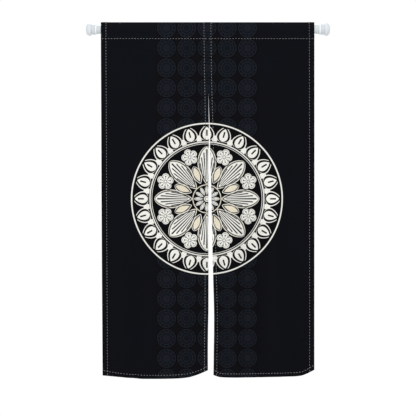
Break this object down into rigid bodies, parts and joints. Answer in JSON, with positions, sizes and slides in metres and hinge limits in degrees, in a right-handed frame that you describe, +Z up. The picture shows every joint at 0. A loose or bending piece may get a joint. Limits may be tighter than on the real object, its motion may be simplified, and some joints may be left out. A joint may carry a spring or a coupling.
{
  "type": "noren curtain on a rod",
  "caption": "Split doorway curtain of two hemmed cloth panels with a sewn rod pocket, hung on a white rod with round end caps.",
  "frame": {"origin": "centre of the rod's left end face, on the rod's axis", "axes": "+X along the rod to its right end, +Z up from the hem to the rod, -Y out of the cloth's printed front"},
  "size_m": [0.9822, 0.0512, 1.4367],
  "materials": {
    "cloth": "dark navy-black woven polyester with tonal round medallions down the middle, a cream printed roundel and pale grey running stitches",
    "tube_paint": "white powder coat on thin steel tube",
    "white_plastic": "satin white moulded plastic"
  },
  "bodies": {
    "root": {"panel_left": "cloth", "panel_right": "cloth", "rod_tube": "tube_paint", "cap_left": "white_plastic", "cap_right": "white_plastic", "ring_left": "white_plastic", "ring_right": "white_plastic"}
  },
  "joints": []
}
